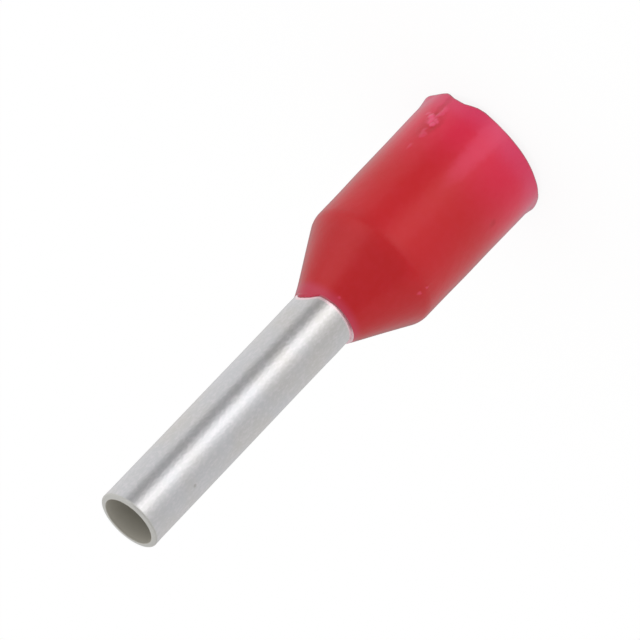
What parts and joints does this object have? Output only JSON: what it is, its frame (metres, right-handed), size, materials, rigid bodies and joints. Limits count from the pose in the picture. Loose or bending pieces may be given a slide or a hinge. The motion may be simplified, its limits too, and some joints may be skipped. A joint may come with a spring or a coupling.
{
  "type": "insulated wire ferrule",
  "caption": "Insulated wire ferrule: a tinned copper sleeve crimped over stranded wire, with a flared red plastic collar over the insulation.",
  "frame": {"origin": "centre of the collar's mouth, where the wire goes in; the gate stub reaches 0.15 mm below it", "axes": "+Z along the ferrule's axis, from the mouth to the bare sleeve's tip; -Y faces the side with the clean rim"},
  "size_m": [0.0039, 0.0038, 0.0142],
  "materials": {
    "collar": "satin",
    "sleeve": "satin"
  },
  "bodies": {
    "root": {"collar": "collar", "sleeve": "sleeve"}
  },
  "joints": []
}
